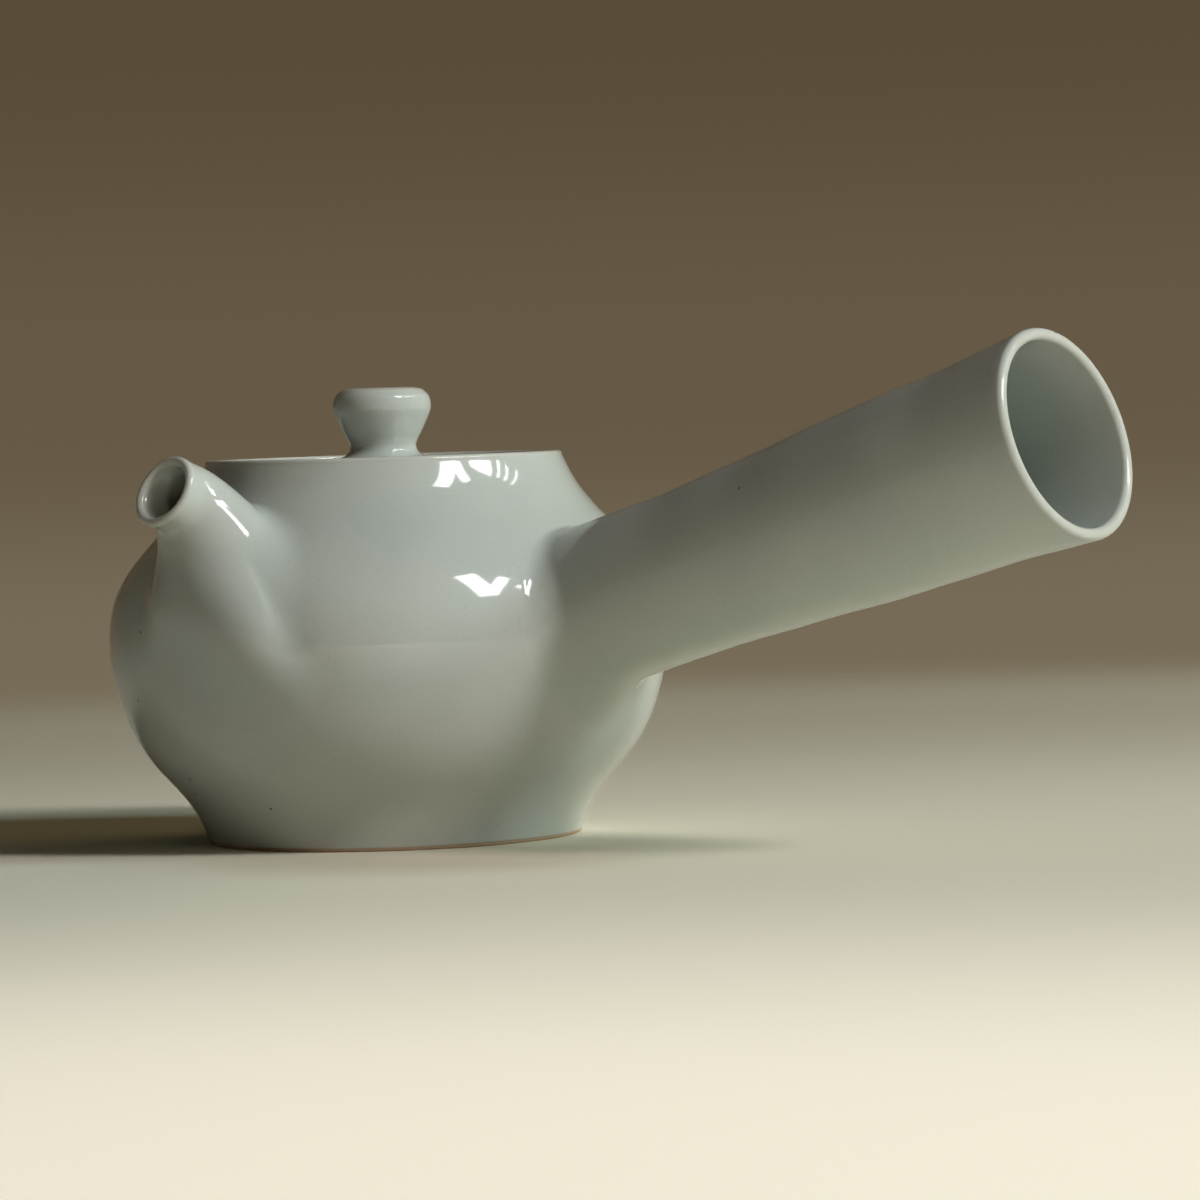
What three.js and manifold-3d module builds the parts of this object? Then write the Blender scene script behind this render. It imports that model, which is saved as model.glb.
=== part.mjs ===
import * as THREE from 'three';
import { mergeVertices } from 'three/addons/utils/BufferGeometryUtils.js';
import Module from 'manifold-3d';

// Side-handled porcelain teapot
// Lengths are in millimetres, +Z is up, the foot rests on height zero and the handle points along +X

// Clearances
const luting_gap = 0.3;
const luting_edge = 0.5;
const fillet_pull_share = 0.6;
const lid_side_gap = 0.45;
const flange_gap = 0.5;
const cut_overrun = 4;

// Pot body
const pot_height = 63.5;
const foot_radius = 30.9;
const belly_radius = 46.55;
const belly_height = 33.3;
const rim_radius = 29.4;
const wall_thickness = 2.8;
const base_thickness = 4.2;
const foot_edge_radius = 0.5;
const rim_edge_radius = 0.8;
const bowl_height = 26;
const bowl_power_share = 2.6;
// Outline from the foot to the belly: share of the belly's height, share of the swell
const swell_shares = [
  [0, 0], [0.1, 0.083], [0.2, 0.197], [0.3, 0.375], [0.4, 0.57], [0.5, 0.716],
  [0.6, 0.818], [0.7, 0.889], [0.8, 0.946], [0.9, 0.985], [1, 1],
];
// Outline from the belly to the rim: share of the height left, share of the drawing in
const neck_shares = [
  [0.113, 0.009], [0.222, 0.05], [0.331, 0.132], [0.444, 0.268], [0.56, 0.448],
  [0.69, 0.668], [0.805, 0.828], [0.861, 0.888], [0.917, 0.936], [1, 1],
];

// Lid seat, a ledge inside the neck
const seat_thickness = 2.4;
const seat_width = 4.2;

// Lid
const lid_thickness = 2.9;
const lid_drop = 0.7;
const lid_crown = 0.3;
const lid_edge_radius = 0.7;
const flange_wall = 1.8;
const flange_depth = 4.1;
const vent_radius = 1.3;
const vent_azimuth = Math.PI;

// Knob
const knob_radius = 8.17;
const knob_height = 11.4;
// Outline of the knob: share of its height, share of its radius
const knob_shares = [
  [0, 0.77], [0.04, 0.72], [0.09, 0.685], [0.158, 0.673], [0.23, 0.705], [0.3, 0.757],
  [0.45, 0.862], [0.6, 0.957], [0.67, 0.991], [0.737, 1], [0.816, 0.985], [0.886, 0.942],
  [0.956, 0.832], [0.988, 0.735], [1, 0.58],
];

// Handle, a hollow thrown tube open at its far end
const handle_length = 90.9;
const handle_mouth_radius = 16.95;
const handle_wall = 2;
const handle_rise = THREE.MathUtils.degToRad(16.2);
const handle_root_drop = 24.7;
const handle_inset = 22;
const handle_fillet_run = 6;
const handle_fillet_top = 3;
const handle_fillet_side = 6;
const handle_fillet_bottom = 4.5;
// Outline of the handle: share of the length from its mouth to the belly, share of the mouth radius
const handle_shares = [
  [0, 1], [0.055, 0.979], [0.11, 0.956], [0.22, 0.932], [0.33, 0.914], [0.44, 0.888],
  [0.55, 0.857], [0.66, 0.821], [0.77, 0.796], [0.88, 0.791], [1, 0.8], [1.3, 0.82],
];

// Spout, short and flared, set over the strainer
const spout_azimuth = THREE.MathUtils.degToRad(-97);
const spout_overhang = 1.85;
const spout_mouth_drop = 4.5;
const spout_mouth_tilt = THREE.MathUtils.degToRad(27);
const spout_mouth_lead = 10.9;
const spout_root_sink = 12.8;
const spout_root_tilt = THREE.MathUtils.degToRad(71);
const spout_root_lead = 11;
const spout_root_half_width = 16.7;
const spout_root_half_depth = 13.9;
const spout_wall = 1.6;
const spout_fillet_run = 4;
const spout_fillet_top = 3.5;
const spout_fillet_side = 6.5;
const spout_fillet_bottom = 4;
// Half width across and half depth fore and aft: share of the way from the mouth to the root,
// share of the size at the root
const spout_width_shares = [
  [0, 0.371], [0.03, 0.345], [0.07, 0.313], [0.12, 0.315], [0.25, 0.397], [0.5, 0.53],
  [0.75, 0.793], [1, 1],
];
const spout_depth_shares = [
  [0, 0.446], [0.03, 0.435], [0.07, 0.428], [0.12, 0.432], [0.25, 0.51], [0.5, 0.7],
  [0.75, 0.81], [1, 1],
];

// Strainer, a pierced dome over the port behind the spout
const port_lift = 11.5;
const port_radius = 6.2;
const strainer_margin = 2.8;
const strainer_clearance = 0.7;
const strainer_wall = 1.6;
const strainer_hole_radius = 0.85;
const strainer_ring_step = THREE.MathUtils.degToRad(19);
const strainer_rings = 3;
const strainer_holes_per_ring = 6;

// Fineness of the facets
const body_sides = 64;
const body_rows = 22;
const inside_rows = 14;
const ring_sides = 48;
const knob_sides = 32;
const tube_sides = 36;
const corner_steps = 3;
const fillet_steps = 5;
const handle_rows = 9;
const spout_rows = 7;
const face_rows = 2;
const dome_sides = 22;
const hole_sides = 6;
const search_steps = 30;

// Glazed and bare porcelain
const glazed = { color: 0xc2cac3, roughness: 0.12, metalness: 0 };
const bare = { color: 0xd9cfc0, roughness: 0.75, metalness: 0 };

const wasm = await Module();
wasm.setup();

// Smooth curve through a table of pairs, read at one place along it
function readCurve(points, at) {
  const last = points.length - 1;
  const slope = (i) => {
    const a = points[Math.max(i - 1, 0)];
    const b = points[Math.min(i + 1, last)];
    return (b[1] - a[1]) / (b[0] - a[0]);
  };
  let i = 0;
  while (i < last - 1 && at > points[i + 1][0]) {
    i += 1;
  }
  const width = points[i + 1][0] - points[i][0];
  const t = Math.min(Math.max((at - points[i][0]) / width, 0), 1);
  const start = points[i][1] * (1 + 2 * t) * (1 - t) ** 2 + slope(i) * width * t * (1 - t) ** 2;
  return start + points[i + 1][1] * t * t * (3 - 2 * t) - slope(i + 1) * width * t * t * (1 - t);
}

// Body outline in real sizes: height, radius
const outline = [
  ...swell_shares.map(([up, out]) => [
    up * belly_height,
    foot_radius + out * (belly_radius - foot_radius),
  ]),
  ...neck_shares.map(([up, into]) => [
    belly_height + up * (pot_height - belly_height),
    belly_radius - into * (belly_radius - rim_radius),
  ]),
];

function outerRadius(z) {
  return readCurve(outline, z);
}

// Radius of a surface that stands a given distance off the body's outside
function standoffRadius(z, distance) {
  const step = foot_edge_radius;
  const slope = (outerRadius(z + step) - outerRadius(z - step)) / (2 * step);
  return outerRadius(z) + distance * Math.hypot(1, slope);
}

// Inside of the pot: the wall follows the outside and the floor is a rounded bowl
function innerRadius(z) {
  const wall = standoffRadius(z, -wall_thickness);
  if (z >= bowl_height) {
    return wall;
  }
  const depth = Math.min((bowl_height - z) / (bowl_height - base_thickness), 1);
  const bowl = standoffRadius(bowl_height, -wall_thickness);
  return Math.min(wall, bowl * (1 - depth ** bowl_power_share) ** (1 / bowl_power_share));
}

function arc(cx, cy, radius, from, to) {
  const points = [];
  for (let i = 0; i <= corner_steps; i += 1) {
    const a = from + ((to - from) * i) / corner_steps;
    points.push(new THREE.Vector2(cx + radius * Math.cos(a), cy + radius * Math.sin(a)));
  }
  return points;
}

function lathe(points, sides) {
  return new THREE.LatheGeometry(points, sides).rotateX(Math.PI / 2);
}

function toSolid(geometry) {
  const plain = geometry.clone();
  plain.deleteAttribute('normal');
  plain.deleteAttribute('uv');
  const merged = mergeVertices(plain);
  return new wasm.Manifold(new wasm.Mesh({
    numProp: 3,
    vertProperties: new Float32Array(merged.attributes.position.array),
    triVerts: new Uint32Array(merged.index.array),
  }));
}

function toGeometry(solid) {
  const mesh = solid.getMesh();
  const geometry = new THREE.BufferGeometry();
  geometry.setAttribute('position', new THREE.BufferAttribute(mesh.vertProperties, 3));
  geometry.setIndex(new THREE.BufferAttribute(mesh.triVerts, 1));
  geometry.computeVertexNormals();
  return geometry;
}

function piece(name, geometry, finish) {
  const mesh = new THREE.Mesh(geometry, new THREE.MeshStandardMaterial(finish));
  mesh.name = name;
  return mesh;
}

// Cylinder whose middle is at a place and whose length runs along a direction
function rod(radius, length, sides, place, direction) {
  const turn = new THREE.Quaternion().setFromUnitVectors(new THREE.Vector3(0, 1, 0), direction);
  return new THREE.CylinderGeometry(radius, radius, length, sides)
    .applyQuaternion(turn)
    .translate(place.x, place.y, place.z);
}

// Heights and radii where the lid sits
const lid_under = pot_height - lid_drop - lid_thickness;
const seat_top = lid_under - luting_gap;
const seat_bottom = seat_top - seat_thickness;
const lid_radius = innerRadius(pot_height - rim_edge_radius) - lid_side_gap;
const seat_bore = lid_radius - seat_width;
const flange_outer = seat_bore - flange_gap;
const flange_inner = flange_outer - flange_wall;

// Direction of the spout, and the place of its port, whose strainer stays clear of the lid's seat
const spout_out = new THREE.Vector3(Math.cos(spout_azimuth), Math.sin(spout_azimuth), 0);
const dome_radius = port_radius + strainer_margin;
const port_height = seat_bottom - strainer_clearance - dome_radius;
const spout_root_height = port_height - port_lift;
const port_centre = spout_out.clone()
  .multiplyScalar(innerRadius(port_height))
  .setZ(port_height);

// Points of the inside surface from just under the rim down to the axis, moved inwards by a gap
function insideProfile(gap, top) {
  const points = [];
  for (let i = 0; i <= inside_rows; i += 1) {
    const down = i / inside_rows;
    const z = top - (top - base_thickness) * down;
    points.push(new THREE.Vector2(Math.max(innerRadius(z) - gap, 0), z + gap * down));
  }
  return points;
}

function makeBody() {
  const foot_out = outerRadius(foot_edge_radius) - foot_edge_radius;
  const lip = pot_height - rim_edge_radius;
  const points = [new THREE.Vector2(0, 0)];
  points.push(...arc(foot_out, foot_edge_radius, foot_edge_radius, -Math.PI / 2, 0));
  for (let i = 1; i < body_rows; i += 1) {
    const z = foot_edge_radius + ((lip - foot_edge_radius) * i) / body_rows;
    points.push(new THREE.Vector2(outerRadius(z), z));
  }
  points.push(...arc(outerRadius(lip) - rim_edge_radius, lip, rim_edge_radius, 0, Math.PI / 2));
  points.push(
    ...arc(innerRadius(lip) + rim_edge_radius, lip, rim_edge_radius, Math.PI / 2, Math.PI),
  );
  points.push(...insideProfile(0, lip).slice(1));
  const shell = toSolid(lathe(points, body_sides));
  const reach = wall_thickness + cut_overrun;
  const port = toSolid(rod(port_radius, 2 * reach, tube_sides, port_centre, spout_out));
  return piece('pot_body', toGeometry(shell.subtract(port)), glazed);
}

function makeSeat() {
  const points = [
    new THREE.Vector2(seat_bore, seat_bottom),
    new THREE.Vector2(innerRadius(seat_bottom) - luting_gap, seat_bottom),
    new THREE.Vector2(innerRadius(seat_top) - luting_gap, seat_top),
    new THREE.Vector2(seat_bore, seat_top),
    new THREE.Vector2(seat_bore, seat_bottom),
  ];
  return piece('lid_seat', lathe(points, ring_sides), bare);
}

function makeLidPlate() {
  const top = lid_under + lid_thickness;
  const edge = lid_radius - lid_edge_radius;
  const points = [new THREE.Vector2(0, lid_under)];
  points.push(...arc(edge, lid_under + lid_edge_radius, lid_edge_radius, -Math.PI / 2, 0));
  points.push(...arc(edge, top - lid_edge_radius, lid_edge_radius, 0, Math.PI / 2));
  points.push(new THREE.Vector2(knob_radius, top + lid_crown));
  points.push(new THREE.Vector2(0, top + lid_crown));
  const plate = toSolid(lathe(points, ring_sides));
  const place = new THREE.Vector3(Math.cos(vent_azimuth), Math.sin(vent_azimuth), 0)
    .multiplyScalar((knob_radius + flange_inner) / 2)
    .setZ(lid_under);
  const length = 2 * (lid_thickness + cut_overrun);
  const vent = toSolid(rod(vent_radius, length, knob_sides, place, new THREE.Vector3(0, 0, 1)));
  return piece('lid_plate', toGeometry(plate.subtract(vent)), glazed);
}

function makeLidFlange() {
  const top = lid_under - luting_gap;
  const points = [
    new THREE.Vector2(flange_inner, top - flange_depth),
    new THREE.Vector2(flange_outer, top - flange_depth),
    new THREE.Vector2(flange_outer, top),
    new THREE.Vector2(flange_inner, top),
    new THREE.Vector2(flange_inner, top - flange_depth),
  ];
  return piece('lid_flange', lathe(points, ring_sides), bare);
}

function makeKnob() {
  const base = lid_under + lid_thickness + lid_crown + luting_gap;
  const points = [new THREE.Vector2(0, base)];
  for (const [up, out] of knob_shares) {
    points.push(new THREE.Vector2(out * knob_radius, base + up * knob_height));
  }
  points.push(new THREE.Vector2(0, base + knob_height));
  return piece('lid_knob', lathe(points, knob_sides), glazed);
}

// A tube station gives the centre, two axes across and two half sizes at a share of the length
function tubePoint(tube, share, turn, inset, forward) {
  const station = tube.station(share);
  return station.centre
    .addScaledVector(station.side, (station.half_side - inset) * Math.cos(turn))
    .addScaledVector(station.over, (station.half_over - inset) * Math.sin(turn))
    .addScaledVector(station.out, forward);
}

function onBody(point, distance) {
  const z = Math.min(Math.max(point.z, 0), pot_height);
  const scale = standoffRadius(z, distance) / Math.hypot(point.x, point.y);
  return new THREE.Vector3(point.x * scale, point.y * scale, point.z);
}

function bodyNormal(point) {
  const step = foot_edge_radius;
  const slope = (outerRadius(point.z + step) - outerRadius(point.z - step)) / (2 * step);
  const flat = Math.hypot(point.x, point.y);
  return new THREE.Vector3(point.x / flat, point.y / flat, -slope).normalize();
}

// Share of the tube's length at which one line along it meets the body
function meetingShare(tube, turn, inset, distance) {
  let outside = 0;
  let inside = tube.reach_share;
  for (let i = 0; i < search_steps; i += 1) {
    const middle = (outside + inside) / 2;
    const point = tubePoint(tube, middle, turn, inset, 0);
    const z = Math.min(point.z, pot_height);
    if (Math.hypot(point.x, point.y) > standoffRadius(z, distance)) {
      outside = middle;
    } else {
      inside = middle;
    }
  }
  return outside;
}

// How far the fillet spreads over the body at one place round the tube
function filletSpread(tube, turn) {
  const end = Math.sin(turn) > 0 ? tube.fillet_top : tube.fillet_bottom;
  return tube.fillet_side + (end - tube.fillet_side) * Math.sin(turn) ** 2;
}

// Points of one line along the tube: lip, outside, fillet onto the body, root face and bore
function tubeLine(tube, turn) {
  const half = tube.wall / 2;
  const line = [];
  const lip_steps = corner_steps + 1;
  for (let i = 0; i < lip_steps; i += 1) {
    const a = (Math.PI * (lip_steps - i)) / lip_steps;
    line.push(tubePoint(tube, 0, turn, half * (1 - Math.cos(a)), half * Math.sin(a)));
  }
  const stand = luting_gap + luting_edge;
  const meet = meetingShare(tube, turn, 0, stand);
  const start = meet - tube.fillet_run / tube.length;
  for (let i = 0; i < tube.rows; i += 1) {
    line.push(tubePoint(tube, (start * i) / tube.rows, turn, 0, 0));
  }
  const corner = tubePoint(tube, meet, turn, 0, 0);
  const first = tubePoint(tube, start, turn, 0, 0);
  const run = corner.clone().sub(first);
  const away = corner.clone().sub(tube.station(meet).centre).projectOnPlane(bodyNormal(corner));
  const foot = onBody(
    corner.clone().addScaledVector(away.normalize(), filletSpread(tube, turn)),
    stand,
  );
  const spread = corner.clone().sub(foot).projectOnPlane(bodyNormal(foot));
  const fillet = new THREE.CubicBezierCurve3(
    first,
    first.clone().addScaledVector(run, fillet_pull_share),
    foot.clone().addScaledVector(spread, fillet_pull_share),
    foot,
  );
  line.push(...fillet.getPoints(fillet_steps));
  const seat = onBody(foot, luting_gap);
  const bore_share = meetingShare(tube, turn, tube.wall, luting_gap);
  const bore_root = tubePoint(tube, bore_share, turn, tube.wall, 0);
  for (let i = 0; i < face_rows; i += 1) {
    line.push(onBody(seat.clone().lerp(bore_root, i / face_rows), luting_gap));
  }
  for (let i = 0; i < tube.rows; i += 1) {
    line.push(tubePoint(tube, bore_share * (1 - i / tube.rows), turn, tube.wall, 0));
  }
  return line;
}

// Closed skin through lines that run round the tube's wall and share their count of points
function skinFromLines(lines) {
  const rows = lines[0].length;
  const vertices = new Float32Array(lines.flat().flatMap((p) => [p.x, p.y, p.z]));
  const faces = [];
  for (let i = 0; i < lines.length; i += 1) {
    const next = (i + 1) % lines.length;
    for (let j = 0; j < rows; j += 1) {
      const over = (j + 1) % rows;
      const a = i * rows + j;
      const b = next * rows + j;
      const c = next * rows + over;
      const d = i * rows + over;
      faces.push(a, c, b, a, d, c);
    }
  }
  const geometry = new THREE.BufferGeometry();
  geometry.setAttribute('position', new THREE.BufferAttribute(vertices, 3));
  geometry.setIndex(faces);
  geometry.computeVertexNormals();
  return geometry;
}

function makeTube(name, tube) {
  const lines = [];
  for (let i = 0; i < tube_sides; i += 1) {
    lines.push(tubeLine(tube, (2 * Math.PI * i) / tube_sides));
  }
  return piece(name, skinFromLines(lines), glazed);
}

function makeHandle() {
  const out = new THREE.Vector3(Math.cos(handle_rise), 0, Math.sin(handle_rise));
  const over = new THREE.Vector3(-Math.sin(handle_rise), 0, Math.cos(handle_rise));
  const root_height = pot_height - handle_root_drop;
  const root = new THREE.Vector3(outerRadius(root_height), 0, root_height);
  const mouth = root.clone().addScaledVector(out, handle_length);
  return makeTube('handle', {
    length: handle_length,
    reach_share: (handle_length + handle_inset) / handle_length,
    wall: handle_wall,
    rows: handle_rows,
    fillet_run: handle_fillet_run,
    fillet_top: handle_fillet_top,
    fillet_side: handle_fillet_side,
    fillet_bottom: handle_fillet_bottom,
    station: (share) => {
      const radius = handle_mouth_radius * readCurve(handle_shares, share);
      return {
        centre: mouth.clone().addScaledVector(out, -share * handle_length),
        side: new THREE.Vector3(0, 1, 0),
        over,
        out,
        half_side: radius,
        half_over: radius,
      };
    },
  });
}

function makeSpout() {
  const place = (reach, height) => spout_out.clone().multiplyScalar(reach).setZ(height);
  const lean = (tilt) => spout_out.clone().multiplyScalar(Math.cos(tilt)).setZ(Math.sin(tilt));
  const mouth = place(belly_radius + spout_overhang, pot_height - spout_mouth_drop);
  const root = place(outerRadius(spout_root_height) - spout_root_sink, spout_root_height);
  const path = new THREE.CubicBezierCurve3(
    mouth,
    mouth.clone().addScaledVector(lean(spout_mouth_tilt), -spout_mouth_lead),
    root.clone().addScaledVector(lean(spout_root_tilt), spout_root_lead),
    root,
  );
  const side = new THREE.Vector3(-spout_out.y, spout_out.x, 0);
  return makeTube('spout', {
    length: path.getLength(),
    reach_share: 1,
    wall: spout_wall,
    rows: spout_rows,
    fillet_run: spout_fillet_run,
    fillet_top: spout_fillet_top,
    fillet_side: spout_fillet_side,
    fillet_bottom: spout_fillet_bottom,
    station: (share) => {
      const out = path.getTangentAt(share).negate();
      return {
        centre: path.getPointAt(share),
        side,
        over: out.clone().cross(side),
        out,
        half_side: spout_root_half_width * readCurve(spout_width_shares, share),
        half_over: spout_root_half_depth * readCurve(spout_depth_shares, share),
      };
    },
  });
}

function portSphere(radius) {
  return toSolid(new THREE.SphereGeometry(radius, dome_sides, dome_sides / 2)
    .translate(port_centre.x, port_centre.y, port_centre.z));
}

function makeStrainer() {
  const room = insideProfile(luting_gap, pot_height).reverse();
  room.push(new THREE.Vector2(0, pot_height));
  let dome = portSphere(dome_radius)
    .subtract(portSphere(dome_radius - strainer_wall))
    .intersect(toSolid(lathe(room, body_sides)));
  const inward = spout_out.clone().negate();
  const across = new THREE.Vector3(-spout_out.y, spout_out.x, 0);
  for (let ring = 0; ring <= strainer_rings; ring += 1) {
    const count = Math.max(ring * strainer_holes_per_ring, 1);
    for (let i = 0; i < count; i += 1) {
      const aim = inward.clone()
        .applyAxisAngle(across, ring * strainer_ring_step)
        .applyAxisAngle(inward, (2 * Math.PI * i) / count);
      const place = port_centre.clone().addScaledVector(aim, dome_radius);
      dome = dome.subtract(
        toSolid(rod(strainer_hole_radius, 2 * cut_overrun, hole_sides, place, aim)),
      );
    }
  }
  return piece('spout_strainer', toGeometry(dome), bare);
}

const pot = new THREE.Group();
pot.add(makeBody(), makeSeat(), makeHandle(), makeSpout(), makeStrainer());

const lid = new THREE.Group();
lid.add(makeLidPlate(), makeLidFlange(), makeKnob());

const group = new THREE.Group();
group.add(pot, lid);

export default group;
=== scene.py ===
"""Side-handled porcelain teapot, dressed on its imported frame.

Sizes are written in millimetres and become metres when a mesh is made.
"""

from __future__ import annotations

import logging
import math
from dataclasses import dataclass, field
from enum import Enum
from typing import Callable, Sequence

import bpy
import numpy as np
from mathutils import Matrix, Vector


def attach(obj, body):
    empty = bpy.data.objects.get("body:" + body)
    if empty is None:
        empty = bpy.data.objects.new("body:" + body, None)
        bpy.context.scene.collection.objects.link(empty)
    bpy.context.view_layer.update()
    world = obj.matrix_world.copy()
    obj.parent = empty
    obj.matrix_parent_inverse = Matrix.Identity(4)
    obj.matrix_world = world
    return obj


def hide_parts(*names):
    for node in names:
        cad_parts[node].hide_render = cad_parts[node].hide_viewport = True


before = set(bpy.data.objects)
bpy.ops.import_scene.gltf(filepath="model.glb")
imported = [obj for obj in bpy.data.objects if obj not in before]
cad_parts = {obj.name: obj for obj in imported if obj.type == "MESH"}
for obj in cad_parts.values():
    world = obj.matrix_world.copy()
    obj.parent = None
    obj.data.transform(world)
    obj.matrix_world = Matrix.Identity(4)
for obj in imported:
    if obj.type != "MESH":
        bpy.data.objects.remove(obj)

LOG = logging.getLogger("teapot")
METRE = 1000.0
WELD = 0.002
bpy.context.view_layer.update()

Colour = tuple[float, float, float]
Pair = tuple[float, float]
Points = np.ndarray
Piece = bpy.types.Object


class Body(Enum):
    """The two loose bodies of the teapot."""

    POT = "pot"
    LID = "lid"


class Slot(Enum):
    """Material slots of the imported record."""

    GLAZE = "glaze"
    BARE = "bare_porcelain"


def display(*channels: int) -> Colour:
    """Linear light of a display colour, whose red, green and blue run from 0 to 255."""
    shares = (channel / 255 for channel in channels)
    return tuple(s / 12.92 if s < 0.04045 else ((s + 0.055) / 1.055) ** 2.4 for s in shares)


def ease(value: Points) -> Points:
    """Smooth step from 0 to 1 with level ends and no kink in its bend."""
    share = np.clip(value, 0.0, 1.0)
    return share ** 3 * (share * (6 * share - 15) + 10)


def compass(azimuth: float) -> tuple[Points, Points]:
    """Level unit directions at an azimuth in degrees and a quarter turn on from it."""
    turn = math.radians(azimuth)
    return (
        np.array([math.cos(turn), math.sin(turn), 0.0]),
        np.array([-math.sin(turn), math.cos(turn), 0.0]),
    )


def turned(degrees: float, axis: str) -> Matrix:
    """Rotation about an axis."""
    return Matrix.Rotation(math.radians(degrees), 4, axis)


def bell(place: Points, middle: float, reach: float) -> Points:
    """Bell of height 1 round a middle."""
    return np.exp(-((place - middle) / reach) ** 2)


class Curve:
    """Smooth curve through a table of pairs."""

    samples = 1600

    def __init__(self, knots: Sequence[Pair], evenness: float = 0.0) -> None:
        """Fit a natural cubic spline and even it out.

        Args:
            knots: Pairs of place and value, in rising order of place.
            evenness: Length over which small waves are evened out.
        """
        x, y = np.array(knots, float).T
        step = np.diff(x)
        matrix, load = np.eye(len(x)), np.zeros(len(x))
        for i in range(1, len(x) - 1):
            matrix[i, i - 1:i + 2] = step[i - 1], 2 * (step[i - 1] + step[i]), step[i]
            load[i] = 6 * ((y[i + 1] - y[i]) / step[i] - (y[i] - y[i - 1]) / step[i - 1])
        bend = np.linalg.solve(matrix, load)
        self.places = np.linspace(x[0], x[-1], self.samples)
        i = np.clip(np.searchsorted(x, self.places) - 1, 0, len(x) - 2)
        low, high, width = self.places - x[i], x[i + 1] - self.places, step[i]
        values = (
            (bend[i] * high ** 3 + bend[i + 1] * low ** 3) / (6 * width)
            + (y[i] / width - bend[i] * width / 6) * high
            + (y[i + 1] / width - bend[i + 1] * width / 6) * low
        )
        pitch = self.places[1] - self.places[0]
        if evenness > 0:
            reach = int(3 * evenness / pitch)
            weights = np.exp(-0.5 * (np.arange(-reach, reach + 1) * pitch / evenness) ** 2)
            padded = np.pad(values, reach, mode="reflect", reflect_type="odd")
            values = np.convolve(padded, weights / weights.sum(), mode="valid")
        self.values = values
        self.slopes = np.gradient(values, pitch)

    def at(self, place: Points) -> Points:
        """Value at a place."""
        return np.interp(place, self.places, self.values)

    def slope(self, place: Points) -> Points:
        """Slope at a place."""
        return np.interp(place, self.places, self.slopes)


def math_method(operation: str, reflected: bool = False) -> Callable[[Wire, Wire | float], Wire]:
    """Make a method of a wire that adds one Math node.

    Args:
        operation: The node's operation.
        reflected: Whether the wire is the second of the two.

    Returns:
        The method.
    """
    def apply(wire: Wire, other: Wire | float) -> Wire:
        """Add the node."""
        values = (other, wire) if reflected else (wire, other)
        return wire.paint.node("Math", {"operation": operation}, dict(enumerate(values)))

    return apply


class Wire:
    """One output socket; sums and products on it add Math nodes."""

    __add__ = __radd__ = math_method("ADD")
    __mul__ = __rmul__ = math_method("MULTIPLY")
    __sub__ = math_method("SUBTRACT")
    __rsub__ = math_method("SUBTRACT", reflected=True)
    __gt__ = math_method("GREATER_THAN")

    def __init__(self, paint: Paint, socket: bpy.types.NodeSocket | None) -> None:
        """Hold a socket of a paint's node tree."""
        self.paint = paint
        self.socket = socket

    def ramp(self, low: float, high: float) -> Wire:
        """Smooth step from 0 at the low value to 1 at the high one."""
        return self.paint.node(
            "MapRange",
            {"interpolation_type": "SMOOTHERSTEP"},
            {"Value": self, "From Min": low, "From Max": high},
        )


@dataclass(frozen=True)
class Specks:
    """Scattered round specks.

    The scale counts cells per metre, the size is a speck's radius as a share of its cell, and
    empty is the share of the cells without a speck.
    """

    scale: float
    size: float
    empty: float
    strength: float


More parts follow.
